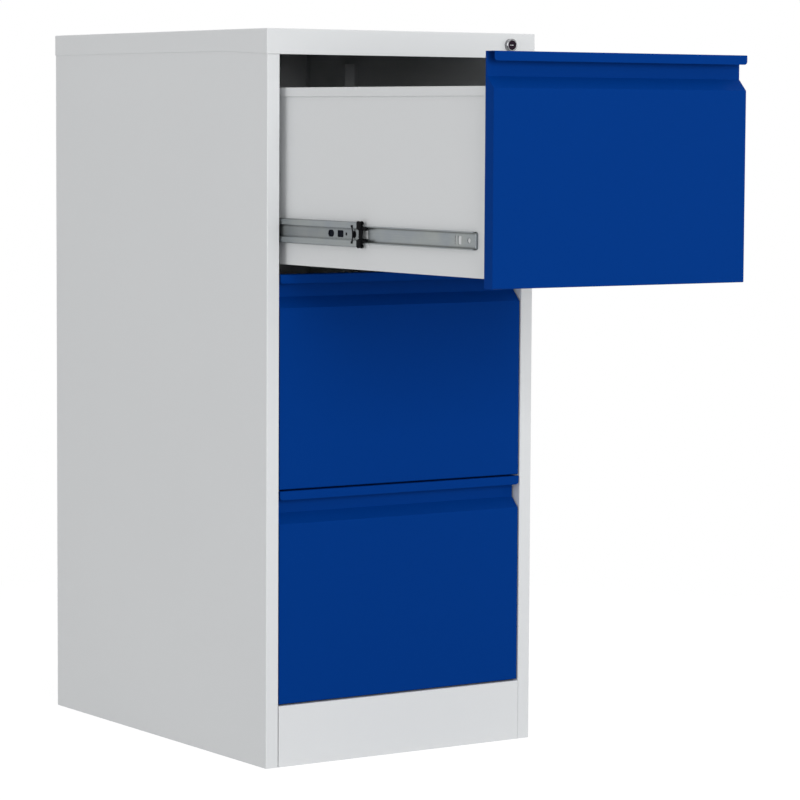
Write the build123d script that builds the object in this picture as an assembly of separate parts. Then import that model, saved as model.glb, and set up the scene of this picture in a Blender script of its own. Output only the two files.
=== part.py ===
"""Three-drawer vertical filing cabinet in bent steel sheet, with telescopic slides and a gang lock.

Millimetres. The origin is the middle of the cabinet's footprint on the floor, +X is the right
side seen from the front, +Y points to the back and +Z up. The top drawer stands fully open.
"""

import os
from math import cos, hypot, radians, sin, sqrt, tan

from build123d import *

# Cabinet
CABINET_WIDTH = 460.0
CABINET_DEPTH = 620.0
CABINET_HEIGHT = 1040.0
SHEET = 0.7
BEND = 0.9
SEAM = 0.4

# Side panels
STILE_WIDTH = 21.0
STILE_RETURN = 20.0
REAR_RETURN = 16.0

# Top cap
FASCIA_HEIGHT = 35.6
SKIRT_HEIGHT = 30.5
SKIRT_TAPER = 108.0
FASCIA_RETURN = 12.0

# Back panel, base tray and kick plate
BACK_RETURN = 10.0
TRAY_HEIGHT = 18.0
KICK_HEIGHT = 87.3
KICK_RETURN = 15.0
KICK_LEDGE = 26.0
KICK_LEDGE_LIP = 10.0

# Uprights that carry the slides
UPRIGHT_SHEET = 1.0
UPRIGHT_WIDTH = 30.0
UPRIGHT_FOOT = 9.0
UPRIGHT_FRONT_SETBACK = 64.0
UPRIGHT_REAR_SETBACK = 66.0
UPRIGHT_LIFT = 3.0
HOOK_HEIGHT = 12.0
HOOK_WIDTH = 5.0
HOOK_REACH = 3.0
HOOK_CLEARANCE = 0.3

# Drawer fronts
DRAWERS = 3
OPEN_DRAWER = 1
DRAWER_GAP = 2.2
FRONT_SIDE_GAP = 2.0
FRONT_DEPTH = 20.0
FACE_SETBACK = 1.75
LIP_HEIGHT = 12.5
LIP_CORNER = 4.5
RECESS_DEPTH = 16.5
RECESS_DROP = 32.0
RECESS_SLOPE = 15.0
INNER_RETURN = 11.0

# Drawer boxes
BOX_INSET = 33.0
BOX_LIFT = 12.0
BOX_HEIGHT = 246.5
BOX_TAIL = 13.5
BOX_FLANGE = 12.0
RIM_HEIGHT = 12.5
RIM_GAP = 0.8
LUG_LENGTH = 11.5
LUG_HEIGHT = 5.5
LUG_THICKNESS = 1.2

# Telescopic slides
SLIDE_LIFT = 60.0
SLIDE_SETBACK = 49.5
SLIDE_REAR_SETBACK = 60.5
SLIDE_THICKNESS = 12.7
SLIDE_HEIGHT = 45.5
SLIDE_SHEET = 1.2
MEMBER_LIP = 3.4
MEMBER_LIP_GAP = 1.2
MIDDLE_HEIGHT = 34.0
MIDDLE_RAIL = 8.2
MIDDLE_RECESS = 1.7
MIDDLE_LIP = 2.7
MIDDLE_FRONT_SETBACK = 13.0
MIDDLE_REAR_SETBACK = 6.0
MIDDLE_TONGUE = 2.5
INNER_HEIGHT = 23.5
INNER_TONGUE = 2.0
INNER_CORNER = 2.0
INNER_LIP = 2.5
RUNNING = 0.3
CAGE_SHEET = 0.5
CAGE_END_GAP = 1.5
BALL_INSET = 20.0
POCKET_CLEARANCE = 0.2

# Holes in the slide members, from the member's front end
MIDDLE_HOLE_LENGTH = 15.0
MIDDLE_HOLE_HEIGHT = 9.5
MIDDLE_SQUARE_HOLE_AT = 41.5
MIDDLE_ROUND_HOLE_AT = 65.0
CLIP_HOLE_FRONT = 2.3
CLIP_HOLE_REAR = 10.9
NOTCH_HOLE = 4.0
NOTCH_HOLE_AT = 27.0
INNER_SCREW_HOLE = 7.0
INNER_SCREW_HOLE_AT = 17.0
INNER_WINDOW_AT = 38.0
INNER_WINDOW_LENGTH = 8.0
INNER_WINDOW_HEIGHT = 11.0
INNER_SLIT_AT = 47.0
INNER_SLIT_LENGTH = 2.5
INNER_ACCESS_AT = 258.0
INNER_ACCESS_LENGTH = 11.0

# Moulded end retainers on the middle members
RETAINER_LENGTH = 10.5
RETAINER_TAIL = 12.5
KNOB_RADIUS = 2.8
KNOB_SIDES = 8
PRONG_LENGTH = 12.5
PRONG_HEIGHT = 3.2
PRONG_DEPTH = 2.4
PRONG_EDGE = 10.2
CLIP_LENGTH = 3.0
CLIP_THICKNESS = 0.6
CLIP_HEIGHT = 25.0
CLIP_STEM_HEIGHT = 6.0

# Lock
LOCK_INSET = 45.0
LOCK_DROP = 17.0
BEZEL_RADIUS = 9.4
BEZEL_PROUD = 6.0
BEZEL_CHAMFER = 1.6
BARREL_RADIUS = 8.5
BARREL_LENGTH = 20.0
BARREL_CLEARANCE = 0.2
PLUG_RADIUS = 6.5
PLUG_CLEARANCE = 0.3
PLUG_RECESS = 0.8
PLUG_TAIL = 0.5
KEYWAY_WIDTH = 1.6
KEYWAY_LENGTH = 7.4
KEYWAY_DEPTH = 11.0
LOCK_NUT_RADIUS = 11.0
LOCK_NUT_THICKNESS = 3.0
CAM_THICKNESS = 2.0
CAM_RIM = 2.4
CRANK_PIN_RADIUS = 2.0
CRANK_PIN_CLEARANCE = 0.5

# Lock bar, which the crank pin lifts
LOCK_LIFT = 10.0
LOCK_TURN = 90.0
BAR_SHEET = 2.0
BAR_WIDTH = 12.0
BAR_INSET = 5.0
BAR_CLEARANCE = 2.0
BAR_ARM_HEIGHT = 12.0
BAR_ARM_END = 5.0
BAR_TAIL = 12.0
FINGER_HEIGHT = 5.0
FINGER_TIP_GAP = 3.0
GUIDE_WALL = 1.5
GUIDE_CLEARANCE = 0.4
GUIDE_HEIGHT = 12.0
GUIDE_LIFTS = (230.0, 150.0)

# Strikes on the backs of the drawer fronts
STRIKE_LIFT = 200.0
STRIKE_SHEET = 1.5
STRIKE_REACH = 15.0
STRIKE_DROP = 10.0
STRIKE_FOOT = 12.0
STRIKE_WIDTH = 8.0
STRIKE_WALL_GAP = 1.5
STRIKE_CLEARANCE = 2.0

# Planes and places that follow from the sizes
LEFT = -CABINET_WIDTH / 2
FRONT = -CABINET_DEPTH / 2
BACK = CABINET_DEPTH / 2
WALL_OUTSIDE = LEFT + SHEET
WALL_INSIDE = WALL_OUTSIDE + SHEET
STILE_EDGE = LEFT + STILE_WIDTH
FASCIA_BOTTOM = CABINET_HEIGHT - FASCIA_HEIGHT
UNDER_CAP = CABINET_HEIGHT - SHEET

FRONT_HEIGHT = (FASCIA_BOTTOM - KICK_HEIGHT - (DRAWERS + 1) * DRAWER_GAP) / DRAWERS
FRONT_LEFT = STILE_EDGE + FRONT_SIDE_GAP
FRONT_REAR = FRONT + FRONT_DEPTH

BOX_OUTSIDE = LEFT + BOX_INSET
BOX_INSIDE = BOX_OUTSIDE + SHEET
BOX_TOP = BOX_LIFT + BOX_HEIGHT

SLIDE_SEAT = BOX_OUTSIDE - SLIDE_THICKNESS
SLIDE_FRONT = FRONT + SLIDE_SETBACK
SLIDE_REAR = BACK - SLIDE_REAR_SETBACK
SLIDE_LENGTH = SLIDE_REAR - SLIDE_FRONT
BOX_REAR = SLIDE_REAR + BOX_TAIL
TRAVEL = SLIDE_LENGTH
CAGE_END = MIDDLE_FRONT_SETBACK + RETAINER_TAIL + CAGE_END_GAP
CAGE_LENGTH = SLIDE_LENGTH - TRAVEL / 2 - 2 * CAGE_END
BALL_PITCH = CAGE_LENGTH - 2 * BALL_INSET
UPRIGHT_FRONT_Y = FRONT + UPRIGHT_FRONT_SETBACK
UPRIGHT_REAR_Y = SLIDE_REAR - UPRIGHT_REAR_SETBACK

LOCK_X = -LEFT - LOCK_INSET
LOCK_Z = CABINET_HEIGHT - LOCK_DROP
BAR_RIGHT = -STILE_EDGE + BAR_INSET + BAR_WIDTH
BAR_LEFT = BAR_RIGHT - BAR_WIDTH
CAM_FRONT = FRONT + BARREL_LENGTH + PLUG_TAIL
BAR_FRONT = CAM_FRONT + CAM_THICKNESS + BAR_CLEARANCE
CRANK_RADIUS = LOCK_LIFT / 2 / sin(radians(LOCK_TURN / 2))

# Slide sections are drawn as (distance from the seat on the upright, height from the middle)
CAGE_SEAT = SLIDE_SHEET + RUNNING
MIDDLE_SEAT = CAGE_SEAT + CAGE_SHEET + RUNNING
MIDDLE_WEB = MIDDLE_SEAT + MIDDLE_RECESS
INNER_CAGE_SEAT = MIDDLE_WEB + SLIDE_SHEET + RUNNING
INNER_TIP = INNER_CAGE_SEAT + CAGE_SHEET + RUNNING
MIDDLE_REACH = SLIDE_THICKNESS - SLIDE_SHEET - RUNNING
CABINET_REACH = SLIDE_THICKNESS - MEMBER_LIP_GAP

OUTER_RACE = SLIDE_HEIGHT / 2 - SLIDE_SHEET
MIDDLE_RACE = MIDDLE_HEIGHT / 2 - SLIDE_SHEET
RAIL_EDGE = MIDDLE_HEIGHT / 2 - MIDDLE_RAIL
WEB_EDGE = RAIL_EDGE - MIDDLE_RECESS


def front_bottom(number):
    """Height of the lower edge of a drawer's front; drawer 1 is the top one."""
    return KICK_HEIGHT + DRAWER_GAP + (DRAWERS - number) * (FRONT_HEIGHT + DRAWER_GAP)


def pull_out(number):
    """How far a drawer stands open."""
    return TRAVEL if number == OPEN_DRAWER else 0.0


def block(low, high):
    """Box between two opposite corners."""
    size = [end - start for start, end in zip(low, high)]
    return Pos(*low) * Box(*size, align=(Align.MIN, Align.MIN, Align.MIN))


def rod(x, z, front, rear, radius):
    """Cylinder along Y."""
    return Pos(x, (front + rear) / 2, z) * Rot(90, 0, 0) * Cylinder(radius, rear - front)


def along_x(face, start, end):
    """Solid from a face drawn in Y and Z."""
    return extrude(Plane.YZ.offset(start) * face, end - start)


def along_y(face, start, end):
    """Solid from a face drawn in X and Z."""
    return extrude(Plane.XZ.offset(-end) * face, end - start)


def along_z(face, start, end):
    """Solid from a face drawn in X and Y."""
    return extrude(Plane.XY.offset(start) * face, end - start)


def mirrored(shape):
    """The same piece for the other side of the cabinet."""
    return mirror(shape, about=Plane.YZ)


def rounded_path(corners, radii):
    """Lines through the corners, with an arc at each inner corner that has a radius."""
    edges = []
    start = corners[0]
    for before, corner, after, radius in zip(corners, corners[1:], corners[2:], radii):
        if not radius:
            edges.append(Line(start, corner))
            start = corner
            continue
        back = (before - corner).normalized()
        ahead = (after - corner).normalized()
        half = radians(back.get_angle(ahead)) / 2
        middle = corner + (back + ahead).normalized() * (radius / sin(half) - radius)
        arc_start = corner + back * (radius / tan(half))
        arc_end = corner + ahead * (radius / tan(half))
        edges.append(Line(start, arc_start))
        edges.append(ThreePointArc(arc_start, middle, arc_end))
        start = arc_end
    edges.append(Line(start, corners[-1]))
    return edges


def bent_sheet(points, thickness, bends):
    """Section of a bent sheet: one face runs along the points, the metal lies on its left.

    Each bend gives its inner radius, and zero leaves a sharp fold.
    """
    near = [Vector(*point) for point in points]
    steps = [(end - start).normalized() for start, end in zip(near, near[1:])]
    normals = [Vector(-step.Y, step.X) for step in steps]
    turns = [first.cross(second).Z for first, second in zip(steps, steps[1:])]
    far = [near[0] + normals[0] * thickness]
    for corner, first, second in zip(near[1:], normals, normals[1:]):
        far.append(corner + (first + second) * (thickness / (1 + first.dot(second))))
    far.append(near[-1] + normals[-1] * thickness)
    outside = [bend + thickness if bend else 0 for bend in bends]
    near_radii = [wide if turn > 0 else bend for bend, wide, turn in zip(bends, outside, turns)]
    far_radii = [bend if turn > 0 else wide for bend, wide, turn in zip(bends, outside, turns)]
    edges = rounded_path(near, near_radii)
    edges.append(Line(near[-1], far[-1]))
    edges += rounded_path(far[::-1], far_radii[::-1])
    edges.append(Line(far[0], near[0]))
    return make_face(edges)


def side_panel():
    """Left side: rear return, wall, front stile and the stile's return, bent from one sheet."""
    rear = BACK - SHEET
    section = bent_sheet(
        [
            (WALL_OUTSIDE + REAR_RETURN, rear),
            (WALL_OUTSIDE, rear),
            (WALL_OUTSIDE, FRONT),
            (STILE_EDGE, FRONT),
            (STILE_EDGE, FRONT + STILE_RETURN),
        ],
        SHEET,
        [BEND] * 3,
    )
    panel = along_z(section, 0, UNDER_CAP)
    notch_bottom = FASCIA_BOTTOM - SEAM
    corner_relief = FRONT + SHEET + BEND + SHEET
    panel -= block((LEFT, FRONT, notch_bottom), (STILE_EDGE, corner_relief, CABINET_HEIGHT))
    panel -= block(
        (WALL_INSIDE, FRONT, notch_bottom),
        (STILE_EDGE, FRONT + STILE_RETURN, CABINET_HEIGHT),
    )
    return panel


def top_panel():
    """Cap over the side panels: top, front fascia with a return, and lower skirts at the sides."""
    half = CABINET_WIDTH / 2
    outer = block((-half, FRONT, FASCIA_BOTTOM), (half, BACK, CABINET_HEIGHT))
    folds = outer.edges().filter_by(Axis.Z) + outer.faces().sort_by(Axis.Z)[-1].edges()
    outer = fillet(folds, BEND + SHEET)
    inner = block(
        (-half + SHEET, FRONT + SHEET, FASCIA_BOTTOM - SHEET),
        (half - SHEET, BACK - SHEET, CABINET_HEIGHT - SHEET),
    )
    cap = outer - inner
    skirt_bottom = CABINET_HEIGHT - SKIRT_HEIGHT
    fascia_rear = FRONT + SHEET + BEND
    below = Polyline(
        (fascia_rear, FASCIA_BOTTOM - SHEET),
        (fascia_rear, FASCIA_BOTTOM),
        (FRONT + SKIRT_TAPER, skirt_bottom),
        (BACK + SHEET, skirt_bottom),
        (BACK + SHEET, FASCIA_BOTTOM - SHEET),
        close=True,
    )
    cap -= along_x(make_face(below), -half - SHEET, half + SHEET)
    shelf = half - 2 * SHEET - SEAM
    cap += block(
        (-shelf, FRONT + SHEET / 2, FASCIA_BOTTOM),
        (shelf, FRONT + FASCIA_RETURN, FASCIA_BOTTOM + SHEET),
    )
    return cap - rod(LOCK_X, LOCK_Z, FRONT - SHEET, FRONT + 2 * SHEET, BARREL_RADIUS + BARREL_CLEARANCE)


def back_panel():
    """Flat back that stands inside the rear returns, with narrow returns of its own."""
    rear = BACK - 2 * SHEET
    edge = WALL_INSIDE + BEND
    section = bent_sheet(
        [
            (-edge, rear - BACK_RETURN),
            (-edge, rear),
            (edge, rear),
            (edge, rear - BACK_RETURN),
        ],
        SHEET,
        [0, 0],
    )
    return along_z(section, TRAY_HEIGHT, UNDER_CAP)


def bottom_panel():
    """Base tray on the floor, with turned-up edges between the side panels."""
    front = FRONT + max(STILE_RETURN, KICK_RETURN) + SEAM
    rear = BACK - 2 * SHEET - BEND
    outer = block((WALL_INSIDE, front, 0), (-WALL_INSIDE, rear, TRAY_HEIGHT))
    inside = WALL_INSIDE + SHEET
    hollow = block((inside, front + SHEET, SHEET), (-inside, rear - SHEET, TRAY_HEIGHT))
    return outer - hollow


def kick_plate():
    """Plinth between the stiles: ledge with a lip, face and foot return."""
    section = bent_sheet(
        [
            (FRONT + KICK_LEDGE, KICK_HEIGHT - KICK_LEDGE_LIP),
            (FRONT + KICK_LEDGE, KICK_HEIGHT),
            (FRONT, KICK_HEIGHT),
            (FRONT, 0),
            (FRONT + KICK_RETURN, 0),
        ],
        SHEET,
        [0, BEND, 0],
    )
    return along_x(section, STILE_EDGE + SEAM, -STILE_EDGE - SEAM)


def hook_places():
    """Middle heights of the hooks that hang the slides on the uprights."""
    return [front_bottom(number) + SLIDE_LIFT for number in range(1, DRAWERS + 1)]


def hook(middle_y, middle_z, grow):
    """Hook through the upright's web, or its slot when grown by the clearance."""
    half_width = HOOK_WIDTH / 2 + grow
    half_height = HOOK_HEIGHT / 2 + grow
    return block(
        (SLIDE_SEAT - HOOK_REACH - grow, middle_y - half_width, middle_z - half_height),
        (SLIDE_SEAT, middle_y + half_width, middle_z + half_height),
    )


def upright(middle_y):
    """Left upright: a hat-section rail with a slot for each slide's hook."""
    web = SLIDE_SEAT - UPRIGHT_SHEET
    near = middle_y - UPRIGHT_WIDTH / 2
    far = middle_y + UPRIGHT_WIDTH / 2
    section = bent_sheet(
        [
            (WALL_INSIDE, far + UPRIGHT_FOOT),
            (WALL_INSIDE, far),
            (web, far),
            (web, near),
            (WALL_INSIDE, near),
            (WALL_INSIDE, near - UPRIGHT_FOOT),
        ],
        UPRIGHT_SHEET,
        [0] * 4,
    )
    rail = along_z(section, TRAY_HEIGHT + UPRIGHT_LIFT, FASCIA_BOTTOM - UPRIGHT_LIFT)
    for middle_z in hook_places():
        rail -= hook(middle_y, middle_z, HOOK_CLEARANCE)
    return rail


def uprights(middle_y):
    """Left and right uprights at one depth."""
    left = upright(middle_y)
    return Compound(children=[left, mirrored(left)])


def front_profile(top):
    """Visible outline of a drawer front from its foot to the finger recess, in Y and Z."""
    face = FRONT + FACE_SETBACK
    neck = FRONT + RECESS_DEPTH
    slope_end = top - RECESS_DROP
    return [(face, 0), (face, slope_end - RECESS_SLOPE), (neck, slope_end)]


def front_outer():
    """Coloured drawer front: pan with closed ends, finger recess and a turned-down lip."""
    top = FRONT_HEIGHT
    face_points = front_profile(top)
    neck = FRONT + RECESS_DEPTH
    sheet_points = [(FRONT_REAR, 0)] + face_points
    sheet_points += [(neck, top - SHEET), (FRONT + SHEET, top - SHEET), (FRONT + SHEET, top - LIP_HEIGHT)]
    section = bent_sheet(sheet_points[::-1], SHEET, [BEND, 0, BEND, BEND, BEND])
    right = -FRONT_LEFT
    pan = along_x(section, FRONT_LEFT, right)
    lip_ends = pan.edges().filter_by(Axis.Y).group_by(Axis.Z)
    lip_level = top - LIP_HEIGHT
    corners = [group for group in lip_ends if abs(group[0].center().Z - lip_level) < SHEET / 2]
    pan = fillet(corners[0], min(LIP_CORNER, LIP_HEIGHT / 2))
    pan += block((FRONT_LEFT, neck + SHEET / 2, top - SHEET), (right, FRONT_REAR, top))
    outline = [Vector(FRONT_REAR, 0)] + [Vector(*point) for point in face_points]
    outline += [Vector(neck, top), Vector(FRONT_REAR, top)]
    edges = rounded_path(outline, [BEND + SHEET, BEND + SHEET, BEND, 0])
    edges.append(Line(outline[-1], outline[0]))
    end = make_face(edges)
    pan += along_x(end, FRONT_LEFT, FRONT_LEFT + SHEET)
    pan += along_x(end, right - SHEET, right)
    return pan


def strike():
    """Hook behind the right edge of a drawer front, which the lock bar's finger holds."""
    foot_bottom = STRIKE_LIFT + STRIKE_DROP
    rear = FRONT_REAR + STRIKE_REACH
    section = bent_sheet(
        [
            (rear, STRIKE_LIFT),
            (rear, foot_bottom + STRIKE_SHEET),
            (FRONT_REAR + STRIKE_SHEET, foot_bottom + STRIKE_SHEET),
            (FRONT_REAR + STRIKE_SHEET, foot_bottom + STRIKE_FOOT),
        ],
        STRIKE_SHEET,
        [0, 0],
    )
    start = -BOX_OUTSIDE + STRIKE_WALL_GAP
    return along_x(section, start, start + STRIKE_WIDTH)


def front_inner():
    """Inner panel that closes the pan, notched behind the recess, with the lock strike on it."""
    edge = FRONT_LEFT + SHEET
    section = bent_sheet(
        [
            (-edge, FRONT_REAR - INNER_RETURN),
            (-edge, FRONT_REAR),
            (edge, FRONT_REAR),
            (edge, FRONT_REAR - INNER_RETURN),
        ],
        SHEET,
        [0, 0],
    )
    panel = along_z(section, SHEET, FRONT_HEIGHT - SHEET)
    recess_bottom = FRONT_HEIGHT - RECESS_DROP - RECESS_SLOPE - SHEET
    panel -= block(
        (edge, FRONT, recess_bottom),
        (-edge, FRONT_REAR - SHEET, FRONT_HEIGHT),
    )
    return panel + strike()


def drawer_side():
    """Left drawer wall with a foot flange, a rim folded outward and down, and a lug on it.

    The lug stands under the slide's channel, at the channel's access hole.
    """
    foot = BOX_LIFT + SHEET
    rim_outside = BOX_OUTSIDE - RIM_GAP - SHEET
    section = bent_sheet(
        [
            (BOX_OUTSIDE + BOX_FLANGE, foot),
            (BOX_INSIDE, foot),
            (BOX_INSIDE, BOX_TOP),
            (rim_outside, BOX_TOP),
            (rim_outside, BOX_TOP - RIM_HEIGHT),
        ],
        SHEET,
        [0] * 3,
    )
    wall = along_y(section, FRONT_REAR, BOX_REAR)
    lug_middle = SLIDE_FRONT + INNER_ACCESS_AT
    lug_top = SLIDE_LIFT - INNER_HEIGHT / 2
    lug = block(
        (BOX_OUTSIDE - LUG_THICKNESS, lug_middle - LUG_LENGTH / 2, lug_top - LUG_HEIGHT),
        (BOX_OUTSIDE, lug_middle + LUG_LENGTH / 2, lug_top),
    )
    return wall + lug


def drawer_bottom():
    """Drawer floor on the walls' foot flanges, turned up against the front."""
    rest = BOX_LIFT + SHEET
    section = bent_sheet(
        [(FRONT_REAR, rest + BOX_FLANGE), (FRONT_REAR, rest), (BOX_REAR, rest)],
        SHEET,
        [0],
    )
    return along_x(section, BOX_INSIDE, -BOX_INSIDE)


def drawer_back():
    """Drawer back between the walls, turned forward at both ends."""
    section = bent_sheet(
        [
            (-BOX_INSIDE, BOX_REAR - BOX_FLANGE),
            (-BOX_INSIDE, BOX_REAR),
            (BOX_INSIDE, BOX_REAR),
            (BOX_INSIDE, BOX_REAR - BOX_FLANGE),
        ],
        SHEET,
        [0, 0],
    )
    return along_z(section, BOX_LIFT + 2 * SHEET, BOX_TOP)


def channel_points(seat, reach, half_height, lip):
    """C channel that opens away from the seat, with its lips turned in."""
    return [
        (reach, half_height - lip),
        (reach, half_height),
        (seat, half_height),
        (seat, -half_height),
        (reach, -half_height),
        (reach, lip - half_height),
    ]


def slide_solid(section, start, end):
    """Left slide piece from a slide section."""
    return along_y(Pos(SLIDE_SEAT, 0) * section, start, end)


def web_cut(distance, length, height):
    """Rectangular hole through a member's web, at a distance from the slide's front end."""
    start = SLIDE_FRONT + distance
    return block(
        (SLIDE_SEAT, start - length / 2, -height / 2),
        (BOX_OUTSIDE, start + length / 2, height / 2),
    )


def web_bore(distance, radius):
    """Round hole through a member's web."""
    middle = (SLIDE_SEAT + BOX_OUTSIDE) / 2
    turned = Pos(middle, SLIDE_FRONT + distance, 0) * Rot(0, 90, 0)
    return turned * Cylinder(radius, SLIDE_THICKNESS)


def cabinet_member():
    """Fixed channel of a left slide, with the two hooks that hang it on the uprights."""
    points = channel_points(0, CABINET_REACH, SLIDE_HEIGHT / 2, MEMBER_LIP)
    section = bent_sheet(points, SLIDE_SHEET, [0] * 4)
    member = slide_solid(section, SLIDE_FRONT, SLIDE_REAR)
    for middle_y in (UPRIGHT_FRONT_Y, UPRIGHT_REAR_Y):
        member += hook(middle_y, 0, 0)
    return member


def middle_member():
    """Middle channel of a left slide: two raised rails and a sunk web with four openings in it."""
    half = MIDDLE_HEIGHT / 2
    points = [
        (MIDDLE_REACH, half - MIDDLE_LIP),
        (MIDDLE_REACH, half),
        (MIDDLE_SEAT, half),
        (MIDDLE_SEAT, RAIL_EDGE),
        (MIDDLE_WEB, WEB_EDGE),
    ]
    points += [(distance, -height) for distance, height in reversed(points)]
    section = bent_sheet(points, SLIDE_SHEET, [0] * 8)
    front = SLIDE_FRONT + MIDDLE_FRONT_SETBACK
    member = slide_solid(section, front, SLIDE_REAR - MIDDLE_REAR_SETBACK)
    web = SLIDE_SEAT + MIDDLE_WEB
    member += block((web, front - MIDDLE_TONGUE, -WEB_EDGE), (web + SLIDE_SHEET, front, WEB_EDGE))
    square_hole = MIDDLE_FRONT_SETBACK + MIDDLE_SQUARE_HOLE_AT
    round_hole = MIDDLE_FRONT_SETBACK + MIDDLE_ROUND_HOLE_AT
    notch_hole = MIDDLE_FRONT_SETBACK + NOTCH_HOLE_AT
    member -= web_cut(square_hole, MIDDLE_HOLE_LENGTH, MIDDLE_HOLE_HEIGHT)
    member -= web_cut(notch_hole, NOTCH_HOLE, NOTCH_HOLE)
    radius = MIDDLE_HOLE_HEIGHT / 2
    straight = MIDDLE_HOLE_LENGTH - MIDDLE_HOLE_HEIGHT
    member -= web_cut(round_hole, straight, MIDDLE_HOLE_HEIGHT)
    for end in (-straight / 2, straight / 2):
        member -= web_bore(round_hole + end, radius)
    clip_hole_round = CLIP_HOLE_FRONT + radius
    clip_hole_straight = CLIP_HOLE_REAR - clip_hole_round
    member -= web_bore(MIDDLE_FRONT_SETBACK + clip_hole_round, radius)
    member -= web_cut(
        MIDDLE_FRONT_SETBACK + CLIP_HOLE_REAR - clip_hole_straight / 2,
        clip_hole_straight,
        MIDDLE_HOLE_HEIGHT,
    )
    return member


def drawer_member():
    """Inner channel of a left slide, fast to the drawer wall.

    Its web runs on past the flanges to a turned-out lip.
    """
    half = INNER_HEIGHT / 2
    flange_front = SLIDE_FRONT + INNER_TONGUE
    front = SLIDE_FRONT - INNER_TONGUE
    web = BOX_OUTSIDE - SLIDE_SHEET
    points = [
        (INNER_TIP, -half),
        (SLIDE_THICKNESS, -half),
        (SLIDE_THICKNESS, half),
        (INNER_TIP, half),
    ]
    section = bent_sheet(points, SLIDE_SHEET, [0, 0])
    member = slide_solid(section, flange_front, SLIDE_REAR)
    tongue = block((web, front, -half), (BOX_OUTSIDE, flange_front, half))
    member += chamfer(tongue.edges().filter_by(Axis.X).group_by(Axis.Y)[0], INNER_CORNER)
    lip_half = half - INNER_CORNER
    member += block((web - INNER_LIP, front, -lip_half), (web, front + SLIDE_SHEET, lip_half))
    member -= web_bore(INNER_SCREW_HOLE_AT, INNER_SCREW_HOLE / 2)
    member -= web_cut(INNER_WINDOW_AT, INNER_WINDOW_LENGTH, INNER_WINDOW_HEIGHT)
    member -= web_cut(INNER_SLIT_AT, INNER_SLIT_LENGTH, INNER_WINDOW_HEIGHT)
    member -= web_cut(INNER_ACCESS_AT, INNER_ACCESS_LENGTH, INNER_WINDOW_HEIGHT)
    return member


def ball(x, y, z, radius):
    """Bearing ball with twenty flat facets; its corners lie on the round ball."""
    golden = (1 + sqrt(5)) / 2
    short = radius / hypot(1, golden)
    long = golden * short
    corners = []
    for first in (-short, short):
        for second in (-long, long):
            corners += [(0, first, second), (first, second, 0), (second, 0, first)]
    return Pos(x, y, z) * ConvexPolyhedron(corners)


def ball_cage(seat, ball_distance, ball_height, ball_radius, middle_y):
    """Ball cage of a left slide: a channel strip with pockets, and the balls in them."""
    edge = ball_height + CAGE_SHEET / 2
    pocket = ball_radius + POCKET_CLEARANCE
    reach = ball_distance + pocket
    points = channel_points(seat, reach, edge, 0)[1:-1]
    section = bent_sheet(points, CAGE_SHEET, [0, 0])
    start = middle_y - CAGE_LENGTH / 2
    strip = slide_solid(section, start, start + CAGE_LENGTH)
    x = SLIDE_SEAT + ball_distance
    balls = []
    for y in (middle_y - BALL_PITCH / 2, middle_y + BALL_PITCH / 2):
        strip -= block((x - pocket, y - pocket, -edge), (x + pocket, y + pocket, edge))
        balls += [ball(x, y, z, ball_radius) for z in (-ball_height, ball_height)]
    return [strip] + balls


def cage_pair(solids):
    """Cages of a drawer's left and right slides."""
    return Compound(children=solids + [mirrored(solid) for solid in solids])


def outer_cages():
    """Cages between the fixed channels and the middle channels, at their closed place."""
    ball_height = (OUTER_RACE + MIDDLE_HEIGHT / 2) / 2
    radius = (OUTER_RACE - MIDDLE_HEIGHT / 2) / 2 - RUNNING
    lip_inside = CABINET_REACH - SLIDE_SHEET
    distance = (CAGE_SEAT + CAGE_SHEET + lip_inside) / 2
    middle = (SLIDE_FRONT + SLIDE_REAR) / 2
    return cage_pair(ball_cage(CAGE_SEAT, distance, ball_height, radius, middle))


def inner_cages():
    """Cages between the middle channels and the drawer's channels, at their closed place."""
    ball_height = (MIDDLE_RACE + INNER_HEIGHT / 2) / 2
    radius = (MIDDLE_RACE - INNER_HEIGHT / 2) / 2 - RUNNING
    lip_inside = MIDDLE_REACH - SLIDE_SHEET
    distance = (INNER_CAGE_SEAT + CAGE_SHEET + lip_inside) / 2
    middle = (SLIDE_FRONT + SLIDE_REAR) / 2
    return cage_pair(ball_cage(INNER_CAGE_SEAT, distance, ball_height, radius, middle))


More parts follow.
